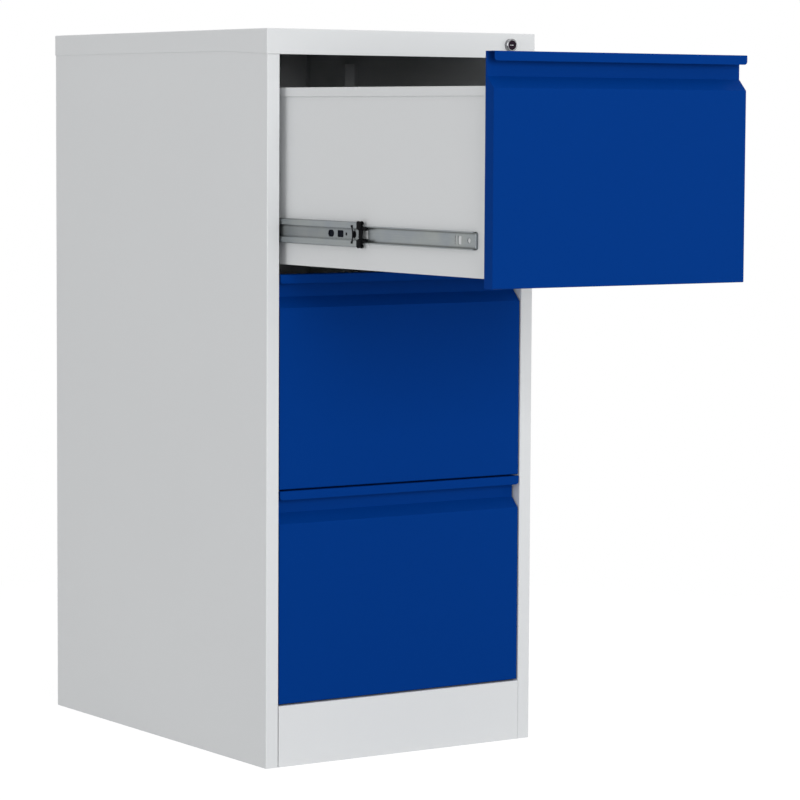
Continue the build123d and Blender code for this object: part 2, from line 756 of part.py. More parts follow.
def end_retainer():
    """Moulded stop on the front of a left middle channel.

    Two knobs stand above and below, two prongs reach along the drawer's channel, and a tail
    behind the web holds the clip that springs out through the web's first hole.
    """
    rear = SLIDE_FRONT + MIDDLE_FRONT_SETBACK
    front = rear - RETAINER_LENGTH
    half = MIDDLE_HEIGHT / 2
    seat = SLIDE_SEAT + MIDDLE_SEAT
    behind = SLIDE_SEAT + MIDDLE_WEB + SLIDE_SHEET
    tip = SLIDE_SEAT + INNER_TIP - RUNNING
    stop = block((seat, front, -half), (tip, rear, half))
    stop -= block((seat, front, -WEB_EDGE), (behind, rear, WEB_EDGE))
    stop += block((behind, rear, -WEB_EDGE), (tip, rear + RETAINER_TAIL, WEB_EDGE))
    knob = along_y(RegularPolygon(KNOB_RADIUS, KNOB_SIDES, major_radius=False), front, rear)
    for side in (-1, 1):
        stop += Pos(seat + KNOB_RADIUS, 0, side * (half - KNOB_RADIUS / 2)) * knob
        prong = block(
            (tip - PRONG_DEPTH, front - PRONG_LENGTH, PRONG_EDGE - PRONG_HEIGHT),
            (tip, front, PRONG_EDGE),
        )
        stop += prong if side > 0 else mirror(prong, about=Plane.XY)
    clip_rear = rear + RETAINER_TAIL
    clip_front = clip_rear - CLIP_LENGTH
    outside = seat - CLIP_THICKNESS
    end = CLIP_HEIGHT / 2
    stem = CLIP_STEM_HEIGHT / 2
    stop += block((outside, clip_front, -end), (seat, clip_rear, end))
    stop += block((outside, clip_front, -stem), (behind, rear + CLIP_HOLE_REAR, stem))
    return stop


def end_retainers():
    """Left and right retainers of one drawer's slides."""
    left = end_retainer()
    return Compound(children=[left, mirrored(left)])


def lock_housing():
    """Lock barrel through the fascia, with its bezel in front."""
    bezel = rod(LOCK_X, LOCK_Z, FRONT - BEZEL_PROUD, FRONT, BEZEL_RADIUS)
    bezel = chamfer(bezel.edges().group_by(Axis.Y)[0], BEZEL_CHAMFER)
    barrel = rod(LOCK_X, LOCK_Z, FRONT, FRONT + BARREL_LENGTH, BARREL_RADIUS)
    bore = rod(
        LOCK_X,
        LOCK_Z,
        FRONT - BEZEL_PROUD,
        FRONT + BARREL_LENGTH,
        PLUG_RADIUS + PLUG_CLEARANCE,
    )
    return bezel + barrel - bore


def lock_nut():
    """Hexagon nut that holds the barrel from behind the fascia."""
    face = RegularPolygon(LOCK_NUT_RADIUS, 6) - Circle(BARREL_RADIUS + BARREL_CLEARANCE)
    start = FRONT + SHEET
    nut = along_y(face, start, start + LOCK_NUT_THICKNESS)
    return Pos(LOCK_X, 0, LOCK_Z) * nut


def lock_plug():
    """Turning plug with its keyway, which lies level while the drawers are unlocked."""
    face = FRONT - BEZEL_PROUD + PLUG_RECESS
    plug = rod(LOCK_X, LOCK_Z, face, CAM_FRONT, PLUG_RADIUS)
    keyway = block(
        (-KEYWAY_LENGTH / 2, face, -KEYWAY_WIDTH / 2),
        (KEYWAY_LENGTH / 2, face + KEYWAY_DEPTH, KEYWAY_WIDTH / 2),
    )
    return plug - Pos(LOCK_X, 0, LOCK_Z) * keyway


def lock_cam():
    """Arm on the plug's rear end, with the crank pin that lifts the bar."""
    rear = CAM_FRONT + CAM_THICKNESS
    half_width = CRANK_PIN_RADIUS + CAM_RIM
    reach = CRANK_RADIUS + half_width
    arm = block((-half_width, CAM_FRONT, -half_width), (reach, rear, half_width))
    arm = chamfer(arm.edges().filter_by(Axis.Y), half_width / 2)
    arm = Pos(LOCK_X, 0, LOCK_Z) * Rot(0, LOCK_TURN / 2, 0) * arm
    start_angle = radians(-LOCK_TURN / 2)
    pin_x = LOCK_X + CRANK_RADIUS * cos(start_angle)
    pin_z = LOCK_Z + CRANK_RADIUS * sin(start_angle)
    pin_end = BAR_FRONT + BAR_SHEET + BAR_CLEARANCE
    return arm + rod(pin_x, pin_z, rear, pin_end, CRANK_PIN_RADIUS)


def lock_bar():
    """Bar behind the right stile: a slotted arm to the crank pin and a finger for each drawer."""
    rear = BAR_FRONT + BAR_SHEET
    pin_z = LOCK_Z - LOCK_LIFT / 2
    arm_low = pin_z - BAR_ARM_HEIGHT / 2
    arm_high = pin_z + BAR_ARM_HEIGHT / 2
    bottom = front_bottom(DRAWERS) + STRIKE_LIFT - BAR_TAIL - FINGER_HEIGHT
    bar = block((BAR_LEFT, BAR_FRONT, bottom), (BAR_RIGHT, rear, arm_high))
    slot_start = LOCK_X + CRANK_RADIUS * cos(radians(LOCK_TURN / 2))
    slot_start -= CRANK_PIN_RADIUS + CRANK_PIN_CLEARANCE
    slot_end = LOCK_X + CRANK_RADIUS + CRANK_PIN_RADIUS + CRANK_PIN_CLEARANCE
    arm_end = slot_start - BAR_ARM_END
    bar += block((arm_end, BAR_FRONT, arm_low), (BAR_LEFT, rear, arm_high))
    half_slot = CRANK_PIN_RADIUS + CRANK_PIN_CLEARANCE
    bar -= block((slot_start, BAR_FRONT, pin_z - half_slot), (slot_end, rear, pin_z + half_slot))
    finger_tip = -BOX_OUTSIDE + FINGER_TIP_GAP
    for number in range(1, DRAWERS + 1):
        finger_top = front_bottom(number) + STRIKE_LIFT - STRIKE_CLEARANCE
        bar += block(
            (finger_tip, BAR_FRONT, finger_top - FINGER_HEIGHT),
            (BAR_LEFT, rear, finger_top),
        )
    return bar


def lock_bar_guides():
    """Two eyes on the right side panel that the lock bar slides in."""
    inside_low = (BAR_LEFT - GUIDE_CLEARANCE, BAR_FRONT - GUIDE_CLEARANCE)
    inside_high = (BAR_RIGHT + GUIDE_CLEARANCE, BAR_FRONT + BAR_SHEET + GUIDE_CLEARANCE)
    guides = []
    for number, lift in zip((1, DRAWERS), GUIDE_LIFTS):
        low = front_bottom(number) + lift
        high = low + GUIDE_HEIGHT
        outer = block(
            (inside_low[0] - GUIDE_WALL, inside_low[1] - GUIDE_WALL, low),
            (-WALL_INSIDE, inside_high[1] + GUIDE_WALL, high),
        )
        guides.append(outer - block((*inside_low, low), (*inside_high, high)))
    return Compound(children=guides)


def cabinet_nodes():
    """Pieces that stand still."""
    left = side_panel()
    nodes = {
        "left_side_panel": left,
        "right_side_panel": mirrored(left),
        "back_panel": back_panel(),
        "top_panel": top_panel(),
        "bottom_panel": bottom_panel(),
        "kick_plate": kick_plate(),
        "front_uprights": uprights(UPRIGHT_FRONT_Y),
        "rear_uprights": uprights(UPRIGHT_REAR_Y),
        "lock_housing": lock_housing(),
        "lock_nut": lock_nut(),
        "lock_bar_guides": lock_bar_guides(),
    }
    member = cabinet_member()
    for number in range(1, DRAWERS + 1):
        placed = Pos(0, 0, front_bottom(number) + SLIDE_LIFT) * member
        nodes[f"slide_{number}_left_cabinet_member"] = placed
        nodes[f"slide_{number}_right_cabinet_member"] = mirrored(placed)
    return nodes


def lock_nodes():
    """Pieces that move when the key turns."""
    return {"lock_plug": lock_plug(), "lock_cam": lock_cam(), "lock_bar": lock_bar()}


def drawer_nodes():
    """Pieces of each drawer, pulled out as far as the drawer stands open."""
    side = drawer_side()
    pieces = {
        "front_outer": front_outer(),
        "front_inner": front_inner(),
        "left_side": side,
        "right_side": mirrored(side),
        "bottom": drawer_bottom(),
        "back": drawer_back(),
    }
    member = drawer_member()
    nodes = {}
    for number in range(1, DRAWERS + 1):
        place = Pos(0, -pull_out(number), front_bottom(number))
        for name, piece in pieces.items():
            nodes[f"drawer_{number}_{name}"] = place * piece
        left = place * Pos(0, 0, SLIDE_LIFT) * member
        nodes[f"slide_{number}_left_drawer_member"] = left
        nodes[f"slide_{number}_right_drawer_member"] = mirrored(left)
    return nodes


def slide_nodes():
    """Middle channels and ball cages, each part of the way out with its drawer."""
    middle = middle_member()
    retainers = end_retainers()
    outer = outer_cages()
    inner = inner_cages()
    nodes = {}
    for number in range(1, DRAWERS + 1):
        height = front_bottom(number) + SLIDE_LIFT
        travel = pull_out(number)
        half_way = Pos(0, -travel / 2, height)
        nodes[f"slide_{number}_left_middle_member"] = half_way * middle
        nodes[f"slide_{number}_right_middle_member"] = half_way * mirrored(middle)
        nodes[f"slide_{number}_end_retainers"] = half_way * retainers
        nodes[f"slide_{number}_outer_ball_cages"] = Pos(0, -travel / 4, height) * outer
        nodes[f"slide_{number}_inner_ball_cages"] = Pos(0, -travel * 3 / 4, height) * inner
    return nodes


def main():
    os.makedirs("parts", exist_ok=True)
    nodes = {**cabinet_nodes(), **lock_nodes(), **drawer_nodes(), **slide_nodes()}
    for name, shape in nodes.items():
        export_step(shape, f"parts/{name}.step")
    print(len(nodes), "nodes written")


main()
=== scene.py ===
"""Look of the three-drawer filing cabinet: finishes, slides, lock, studio and camera.

Metres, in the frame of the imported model: +X right seen from the front, +Y back, +Z up.
Shapes of the slides are drawn for the left side and mirrored to the right.
"""

import math

import bmesh
import bpy
from mathutils import Matrix, Vector


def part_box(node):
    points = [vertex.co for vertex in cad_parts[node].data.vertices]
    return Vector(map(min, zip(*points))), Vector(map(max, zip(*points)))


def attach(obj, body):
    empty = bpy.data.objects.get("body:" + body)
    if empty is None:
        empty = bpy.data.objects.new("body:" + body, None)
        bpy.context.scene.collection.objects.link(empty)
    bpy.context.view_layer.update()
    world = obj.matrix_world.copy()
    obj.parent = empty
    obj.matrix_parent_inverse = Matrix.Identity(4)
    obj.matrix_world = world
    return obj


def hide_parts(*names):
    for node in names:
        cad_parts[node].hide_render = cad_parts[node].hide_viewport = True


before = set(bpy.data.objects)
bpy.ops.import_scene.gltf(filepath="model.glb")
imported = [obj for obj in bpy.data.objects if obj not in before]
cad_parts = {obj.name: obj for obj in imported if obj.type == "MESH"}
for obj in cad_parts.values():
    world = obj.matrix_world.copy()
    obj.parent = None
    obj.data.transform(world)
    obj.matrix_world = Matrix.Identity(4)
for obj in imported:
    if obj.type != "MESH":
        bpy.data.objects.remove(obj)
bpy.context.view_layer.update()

MM = 0.001
DRAWERS = (1, 2, 3)
WHITE = (1, 1, 1)

# Camera of the photograph: place, angles in degrees, focal length
CAMERA_AT = (-2.6988, -4.3008, 0.9153)
CAMERA_YAW = 34.023
CAMERA_PITCH = 4.774
CAMERA_ROLL = 0.316
CAMERA_REACH = 50
FOCAL_PIXELS = 3365.6
IMAGE_PIXELS = 800
SENSOR = 36.0

# Colours, as linear light
GREY_PAINT = (0.738, 0.752, 0.762)
GREY_PAINT_THIN = (0.712, 0.726, 0.736)
BLUE_PAINT = (0.0001, 0.0365, 0.228)
BLUE_PAINT_THIN = (0.0002, 0.0380, 0.234)
ZINC = (0.285, 0.305, 0.300)
ZINC_BLUISH = (0.235, 0.260, 0.285)
ZINC_LINE = (0.370, 0.390, 0.385)
# near-black cut edges: a painted shadow line along the slide members' flange tips
CUT_EDGE_SHADE = (0.035, 0.036, 0.038)
CAGE_BLACK = (0.003, 0.004, 0.008)
BALL_STEEL = (0.52, 0.52, 0.52)
LOCK_NICKEL = (0.30, 0.30, 0.31)
LOCK_FACE = (0.022, 0.014, 0.022)
LOCK_SHUTTER = (0.40, 0.40, 0.41)
BLACK_MOULDING = (0.004, 0.004, 0.005)
FLOOR_COLOUR = (0.70, 0.70, 0.70)

# Powder coat: edge rounding, faint mottle, gloss patches and orange peel
PAINT_EDGE = 0.45 * MM
MOTTLE_SIZE = 260 * MM
MOTTLE_SHARE = 0.25
PAINT_PATCH = 9 * MM
PAINT_ROUGHNESS = (0.42, 0.52)
PAINT_PEEL = {"size": 1.6 * MM, "depth": 0.012 * MM, "strength": 0.6, "detail": 2}
GREY_GLOSS = 0.3
BLUE_GLOSS = 0.02

# Zinc plate: cloudy tints, and lines and grain stretched along the rolling direction
ZINC_EDGE = 0.35 * MM
ALONG_SLIDE = (1, 0.02, 1)
CLOUD_SIZE = 42 * MM
LINE_SIZE = 0.6 * MM
LINE_SHARE = 0.28
ZINC_PATCH = 1.2 * MM
ZINC_ROUGHNESS = (0.30, 0.46)
ZINC_GRAIN = {"size": 0.35 * MM, "depth": 0.008 * MM, "strength": 0.5, "detail": 3}

# Shares of the zinc colour on open faces and in recesses, the second share a painted shade; the
# middle members' sunk web takes a darker, shaded copy
ZINC_SHADES = (1.0, 0.45)
RAIL_SHADES = (0.95, 0.08)
WEB_SHADES = (0.78, 0.08)

# Turned metal: smudges, gloss patches and fine scratches
METAL_EDGE = 0.12 * MM
SMUDGE_SIZE = 4 * MM
SMUDGE_SHARE = 0.3
SMUDGE_SHADE = 0.8
METAL_PATCH = 2 * MM
SCRATCHES = {"size": 0.3 * MM, "depth": 0.004 * MM, "strength": 0.4, "detail": 4}
CUT_ROUGHNESS = (0.4, 0.6)
BALL_ROUGHNESS = (0.08, 0.16)
BEZEL_ROUGHNESS = (0.06, 0.16)
CORE_ROUGHNESS = (0.15, 0.3)

# Black mouldings: patches and eroded grain
MOULDING_EDGE = 0.3 * MM
TONE_SIZE = 3 * MM
TONE_SHADE = 1.6
MOULDING_PATCH = 1.5 * MM
MOULDING_ROUGHNESS = (0.42, 0.6)
MOULDING_GRAIN = {"size": 0.25 * MM, "depth": 0.01 * MM, "strength": 0.5, "detail": 2}
MOULDING_GLOSS = 0.03

# Shader work: where a noise, an edge's turn and a recess's openness (for the painted shade in
# recesses) begin and end
NOISE_RANGE = (0.3, 0.7)
EDGE_TURN = (0.86, 0.995)
RECESS_REACH = 3.5 * MM
RECESS_OPENNESS = (0.72, 0.96)
EDGE_SAMPLES = 6
RECESS_SAMPLES = 8

# Mesh work
ARC_STEPS = 5
TURN_STEPS = 32
BALL_STEPS = 2
BLOCK_STEPS = 2
WELD = 0.001 * MM
SMOOTH_ANGLE = 38
EDGE_FACING = 0.9

# Slide members, from their outer faces
SLIDE_SHEET = 1.2 * MM
SLIDE_FOLD = 1.9 * MM
RUNNING = 0.3 * MM
MEMBER_LIP = 3.4 * MM
HOOK_REACH = 3.0 * MM
HOOK_HEIGHT = 12.0 * MM
HOOK_WIDTH = 5.0 * MM
HOOK_FRONT_AT = 14.5 * MM
HOOK_REAR_AT = 66.0 * MM
MIDDLE_RAIL = 8.2 * MM
MIDDLE_RECESS = 1.7 * MM
MIDDLE_LIP = 2.7 * MM
MIDDLE_TONGUE = 2.5 * MM
RAIL_FOLD = 1.5 * MM
WEB_FOLD = 0.6 * MM
INNER_TONGUE = 2.0 * MM
INNER_CORNER = 2.0 * MM
INNER_LIP = 2.5 * MM
INNER_LIP_EDGE = SLIDE_SHEET / 3
FOLD_RELIEF = 0.3 * MM

# Openings in the slide members, from the front of the slide or of the middle member
WEB_HOLE_LENGTH = 15.0 * MM
WEB_HOLE_HEIGHT = 9.5 * MM
SQUARE_HOLE_AT = 41.5 * MM
SQUARE_HOLE_CORNER = 2.2 * MM
ROUND_HOLE_AT = 65.0 * MM
CLIP_HOLE_FRONT = 2.3 * MM
CLIP_HOLE_REAR = 10.9 * MM
NOTCH_HOLE = 4.0 * MM
NOTCH_HOLE_AT = 27.0 * MM
SMALL_CORNER = 0.8 * MM
SCREW_HOLE = 7.0 * MM
SCREW_HOLE_AT = 17.0 * MM
WINDOW_AT = 38.0 * MM
WINDOW_LENGTH = 8.0 * MM
WINDOW_HEIGHT = 11.0 * MM
SLIT_AT = 47.0 * MM
SLIT_LENGTH = 3.6 * MM
ACCESS_AT = 261.0 * MM
ACCESS_LENGTH = 17.0 * MM

# Ball cages
CAGE_SHEET = 0.5 * MM
CAGE_FOLD = 0.6 * MM
CAGE_RIM = 0.15 * MM
BALLS_IN_ROW = 12
ROW_INSET = 9.0 * MM
BALL_GAP = 0.08 * MM

# Moulded end retainers
RETAINER_LENGTH = 10.5 * MM
RETAINER_TAIL = 12.5 * MM
RETAINER_PLATE = 0.8 * MM
RETAINER_EDGE = 0.4 * MM
PLATE_EDGE = RETAINER_PLATE / 3
KNOB_RADIUS = 2.8 * MM
KNOB_NECK = 2.2 * MM
COLLAR_LENGTH = 2.6 * MM
PRONG_LENGTH = 12.5 * MM
PRONG_HEIGHT = 3.2 * MM
PRONG_DEPTH = 2.4 * MM
PRONG_EDGE = 10.2 * MM
PRONG_ROUNDING = 0.8 * MM
CLIP_THICKNESS = 0.6 * MM
CLIP_WIDTH = 2.2 * MM
CLIP_HEIGHT = 25.0 * MM
CLIP_AT = 7.2 * MM
CLIP_BOW = 3.2 * MM
CLIP_STEM = 6.0 * MM
CLIP_STEPS = 12
PAD_LENGTH = 3.6 * MM
PAD_HEIGHT = 3.2 * MM
PAD_EDGE = CLIP_THICKNESS / 2

# Lock
BEZEL_PROUD = 6.0 * MM
BEZEL_RADIUS = 9.4 * MM
BEZEL_ROUND = 1.5 * MM
BORE_RADIUS = 6.8 * MM
BORE_EDGE = 0.35 * MM
BARREL_RADIUS = 8.5 * MM
THREAD_PITCH = 1.5 * MM
THREAD_DEPTH = 0.35 * MM
PLUG_EDGE = 0.4 * MM
KEYWAY_LENGTH = 7.4 * MM
KEYWAY_WIDTH = 1.6 * MM
KEYWAY_CORNER = 0.5 * MM
KEYWAY_DEPTH = 11.0 * MM
SHUTTER_DEPTH = 0.5 * MM
SHUTTER_THICKNESS = 1.0 * MM
SHUTTER_GAP = 0.05 * MM
SHUTTER_EDGE = 0.2 * MM

# Studio: lamps as place and power
AMBIENT = 0.45
LAMP_SIZE = 4.0
LAMPS = {
    "front_lamp": ((-1.2, -9.0, 2.4), 338),
    "left_lamp": ((-8.5, -1.5, 0.9), 190),
    "right_lamp": ((7.0, -5.0, 1.2), 72),
    "top_lamp": ((0, -1.5, 5.0), 43),
}
LIGHT_TARGET = (0, -0.3, 0.6)
FLOOR_RADIUS = 9.0
FLOOR_STEPS = 96
SHADOW_REACH = (0.7, 1.6)
SHADOW_COLOUR = (0.30, 0.30, 0.30)
SHADOW_LIFT = 0.85


def empty_tree(owner, output):
    """Node tree of a material or world, cleared, and its output's input."""
    owner.use_nodes = True
    tree = owner.node_tree
    tree.nodes.clear()
    return tree, tree.nodes.new(output).inputs[0]


def new_material(name):
    """Material with its tree and its shader."""
    material = bpy.data.materials.new(name)
    tree, surface = empty_tree(material, "ShaderNodeOutputMaterial")
    shader = tree.nodes.new("ShaderNodeBsdfPrincipled")
    tree.links.new(shader.outputs[0], surface)
    return material, tree, shader


def object_point(tree, stretch=(1, 1, 1)):
    """Place on the piece in metres, stretched along its axes."""
    place = tree.nodes.new("ShaderNodeTexCoord")
    mapping = tree.nodes.new("ShaderNodeMapping")
    mapping.inputs["Scale"].default_value = stretch
    tree.links.new(place.outputs["Object"], mapping.inputs["Vector"])
    return mapping.outputs["Vector"]


def noise(tree, point, size, detail=3):
    """Noise whose features are about one size across."""
    node = tree.nodes.new("ShaderNodeTexNoise")
    node.inputs["Scale"].default_value = 1 / size
    node.inputs["Detail"].default_value = detail
    tree.links.new(point, node.inputs["Vector"])
    return node.outputs["Fac"]


def remap(tree, value, low, high, span=NOISE_RANGE):
    """Value from one range stretched over another."""
    node = tree.nodes.new("ShaderNodeMapRange")
    node.inputs["From Min"].default_value = span[0]
    node.inputs["From Max"].default_value = span[1]
    node.inputs["To Min"].default_value = low
    node.inputs["To Max"].default_value = high
    tree.links.new(value, node.inputs["Value"])
    return node.outputs["Result"]


def mix_colours(tree, factor, first, second):
    """Blend of two colours, each a constant or an output."""
    node = tree.nodes.new("ShaderNodeMix")
    node.data_type = "RGBA"
    tree.links.new(factor, node.inputs["Factor"])
    for socket, colour in (("A", first), ("B", second)):
        target = [s for s in node.inputs if s.name == socket and s.type == "RGBA"][0]
        if isinstance(colour, tuple):
            target.default_value = (*colour, 1)
        else:
            tree.links.new(colour, target)
    return [s for s in node.outputs if s.type == "RGBA"][0]


def scaled(colour, share):
    """The same colour, darker or lighter."""
    return tuple(share * channel for channel in colour)


def soft_edges(tree, radius):
    """Normal that is rounded at folds and cut edges."""
    node = tree.nodes.new("ShaderNodeBevel")
    node.samples = EDGE_SAMPLES
    node.inputs["Radius"].default_value = radius
    return node.outputs["Normal"]


def edge_mask(tree, rounded):
    """One at folds and edges, nought on flat faces."""
    geometry = tree.nodes.new("ShaderNodeNewGeometry")
    dot = tree.nodes.new("ShaderNodeVectorMath")
    dot.operation = "DOT_PRODUCT"
    tree.links.new(geometry.outputs["Normal"], dot.inputs[0])
    tree.links.new(rounded, dot.inputs[1])
    return remap(tree, dot.outputs["Value"], 1, 0, EDGE_TURN)


def recess_shade_mask(tree):
    """Painted shade: one deep in the piece's own recesses, nought on its open faces."""
    node = tree.nodes.new("ShaderNodeAmbientOcclusion")
    node.samples = RECESS_SAMPLES
    node.only_local = True
    node.inputs["Distance"].default_value = RECESS_REACH
    return remap(tree, node.outputs["AO"], 1, 0, RECESS_OPENNESS)


def add_gloss_patches(tree, shader, point, size, roughness):
    """Roughness that wanders between two values over patches of one size."""
    patches = remap(tree, noise(tree, point, size), *roughness)
    tree.links.new(patches, shader.inputs["Roughness"])


def add_relief(tree, shader, point, normal, size, depth, strength, detail):
    """Fine relief of a finish, on top of its rounded edges."""
    node = tree.nodes.new("ShaderNodeBump")
    node.inputs["Distance"].default_value = depth
    node.inputs["Strength"].default_value = strength
    tree.links.new(noise(tree, point, size, detail), node.inputs["Height"])
    tree.links.new(normal, node.inputs["Normal"])
    tree.links.new(node.outputs["Normal"], shader.inputs["Normal"])


def powder_coat(name, colour, thin_colour, gloss):
    """Baked powder coat: orange peel, faint mottle, thinner at the folds."""
    material, tree, shader = new_material(name)
    point = object_point(tree)
    rounded = soft_edges(tree, PAINT_EDGE)
    mottle = remap(tree, noise(tree, point, MOTTLE_SIZE, detail=1), 0, MOTTLE_SHARE)
    base = mix_colours(tree, mottle, colour, thin_colour)
    worn = mix_colours(tree, edge_mask(tree, rounded), base, thin_colour)
    tree.links.new(worn, shader.inputs["Base Color"])
    add_gloss_patches(tree, shader, point, PAINT_PATCH, PAINT_ROUGHNESS)
    add_relief(tree, shader, point, rounded, **PAINT_PEEL)
    shader.inputs["Specular IOR Level"].default_value = gloss
    return material


def zinc_plate(name, shade, recess_shade):
    """Rolled and zinc-plated strip: fine lines along the slide, cloudy tints, and painted shade in
    its recesses.
    """
    material, tree, shader = new_material(name)
    point = object_point(tree)
    rolled = object_point(tree, ALONG_SLIDE)
    rounded = soft_edges(tree, ZINC_EDGE)
    tint = remap(tree, noise(tree, point, CLOUD_SIZE, detail=2), 0, 1)
    clouds = mix_colours(tree, tint, scaled(ZINC, shade), scaled(ZINC_BLUISH, shade))
    lines = remap(tree, noise(tree, rolled, LINE_SIZE, detail=4), 0, LINE_SHARE)
    rows = mix_colours(tree, lines, clouds, scaled(ZINC_LINE, shade))
    # painted shade: the zinc darkens to its recess share deep in the piece's own recesses
    base = mix_colours(tree, recess_shade_mask(tree), rows, scaled(ZINC, recess_shade))
    tree.links.new(base, shader.inputs["Base Color"])
    add_gloss_patches(tree, shader, rolled, ZINC_PATCH, ZINC_ROUGHNESS)
    add_relief(tree, shader, rolled, rounded, **ZINC_GRAIN)
    shader.inputs["Metallic"].default_value = 1.0
    return material


def turned_metal(name, colour, roughness):
    """Machined metal with faint marks of handling."""
    material, tree, shader = new_material(name)
    point = object_point(tree)
    rounded = soft_edges(tree, METAL_EDGE)
    smudge = remap(tree, noise(tree, point, SMUDGE_SIZE), 0, SMUDGE_SHARE)
    base = mix_colours(tree, smudge, colour, scaled(colour, SMUDGE_SHADE))
    tree.links.new(base, shader.inputs["Base Color"])
    add_gloss_patches(tree, shader, point, METAL_PATCH, roughness)
    add_relief(tree, shader, point, rounded, **SCRATCHES)
    shader.inputs["Metallic"].default_value = 1.0
    return material


def moulding(name, colour):
    """Black moulded plastic with a fine eroded grain."""
    material, tree, shader = new_material(name)
    point = object_point(tree)
    rounded = soft_edges(tree, MOULDING_EDGE)
    tone = remap(tree, noise(tree, point, TONE_SIZE), 0, 1)
    base = mix_colours(tree, tone, colour, scaled(colour, TONE_SHADE))
    tree.links.new(base, shader.inputs["Base Color"])
    add_gloss_patches(tree, shader, point, MOULDING_PATCH, MOULDING_ROUGHNESS)
    add_relief(tree, shader, point, rounded, **MOULDING_GRAIN)
    shader.inputs["Specular IOR Level"].default_value = MOULDING_GLOSS
    return material


def dress_nodes(paint, blue, zinc):
    """Finish of every CAD node that shows as it is."""
    bright_lock_parts = ("lock_bar", "lock_bar_guides", "lock_cam", "lock_nut")
    for name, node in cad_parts.items():
        if name.endswith("front_outer"):
            finish = blue
        elif name.startswith("slide") or name in bright_lock_parts:
            finish = zinc
        else:
            finish = paint
        node.data.materials.clear()
        node.data.materials.append(finish)


def arc_points(centre, start, end):
    """Points of the shorter arc about a centre."""
    spoke = start - centre
    other = end - centre
    sweep = math.atan2(spoke.x * other.y - spoke.y * other.x, spoke.dot(other))
    turns = [Matrix.Rotation(sweep * step / ARC_STEPS, 2) for step in range(ARC_STEPS + 1)]
    return [centre + turn @ spoke for turn in turns]


def rounded_corner(before, corner, after, radius):
    """Points of the arc that rounds a corner."""
    back = (before - corner).normalized()
    ahead = (after - corner).normalized()
    half = back.angle(ahead) / 2
    centre = corner + (back + ahead).normalized() * (radius / math.sin(half))
    reach = radius / math.tan(half)
    return arc_points(centre, corner + back * reach, corner + ahead * reach)


def rounded_route(corners, radii):
    """Open route with an arc at each inner corner."""
    corners = [Vector(corner) for corner in corners]
    route = [corners[0]]
    for before, corner, after, radius in zip(corners, corners[1:], corners[2:], radii):
        route += rounded_corner(before, corner, after, radius)
    return route + [corners[-1]]


def opening(front, rear, height, front_radius, rear_radius):
    """Outline of a hole, in depth and height, with its own corners in front and at the rear."""
    half = height / 2
    corners = [Vector(c) for c in ((front, half), (front, -half), (rear, -half), (rear, half))]
    radii = (front_radius, front_radius, rear_radius, rear_radius)
    outline = []
    for index, radius in enumerate(radii):
        near = corners[index - 1]
        far = corners[(index + 1) % len(corners)]
        outline += rounded_corner(near, corners[index], far, radius)
    return [p for index, p in enumerate(outline) if (p - outline[index - 1]).length > WELD]


def hole(middle, length, height, radius):
    """Outline of a hole that is rounded alike at both ends."""
    return opening(middle - length / 2, middle + length / 2, height, radius, radius)


def ring_points(radius, steps):
    """Round outline about the origin."""
    angles = [math.tau * step / steps for step in range(steps)]
    return [(radius * math.cos(a), radius * math.sin(a)) for a in angles]


def rounded_rim(radius, depth, rounding):
    """Rounded front edge of a turned form, from its inner side to its outer side."""
    angles = [math.pi / 2 * step / ARC_STEPS for step in range(ARC_STEPS + 1)]
    inner = radius - rounding
    return [(inner + rounding * math.sin(a), depth + rounding * (1 - math.cos(a))) for a in angles]


def add_strip(shape, route, start, end, place):
    """Sheet between two depths that follows a route across the slide."""
    rows = [[shape.verts.new(place(p.x, depth, p.y)) for depth in (start, end)] for p in route]
    for (a, b), (c, d) in zip(rows, rows[1:]):
        shape.faces.new((a, b, d, c))


def add_band(shape, near, far):
    """Faces all round between two closed rows of corners."""
    for index in range(len(near)):
        shape.faces.new((near[index - 1], near[index], far[index], far[index - 1]))


def add_plate(shape, outlines, place):
    """Flat face from an outline and the outlines of its holes."""
    edges = []
    for outline in outlines:
        corners = [shape.verts.new(place(*point)) for point in outline]
        edges += [shape.edges.new(ends) for ends in zip(corners, corners[1:] + corners[:1])]
    bmesh.ops.triangle_fill(shape, use_beauty=True, edges=edges)


def add_block(shape, low, high, edge):
    """Block between two corners with rounded edges."""
    low = Vector(low)
    size = Vector(high) - low
    verts = bmesh.ops.create_cube(shape, size=1)["verts"]
    for vert in verts:
        vert.co = low + Vector((c + 0.5) * s for c, s in zip(vert.co, size))
    edges = list(dict.fromkeys(link for vert in verts for link in vert.link_edges))
    bmesh.ops.bevel(
        shape, geom=edges, offset=edge, segments=BLOCK_STEPS, profile=0.5, affect="EDGES"
    )


def add_turned(shape, profile, x, z, steps=TURN_STEPS, closed=False):
    """Round form about a line along Y, from (radius, depth) points."""
    rings = []
    for radius, depth in profile:
        spots = ring_points(radius, steps) if radius else [(0, 0)]
        rings.append([shape.verts.new((x + across, depth, z + up)) for across, up in spots])
    pairs = zip(rings, rings[1:] + rings[:1]) if closed else zip(rings, rings[1:])
    for near, far in pairs:
        for step in range(steps):
            after = (step + 1) % steps
            corners = [near[step % len(near)], near[after % len(near)]]
            corners += [far[after % len(far)], far[step % len(far)]]
            shape.faces.new(list(dict.fromkeys(corners)))


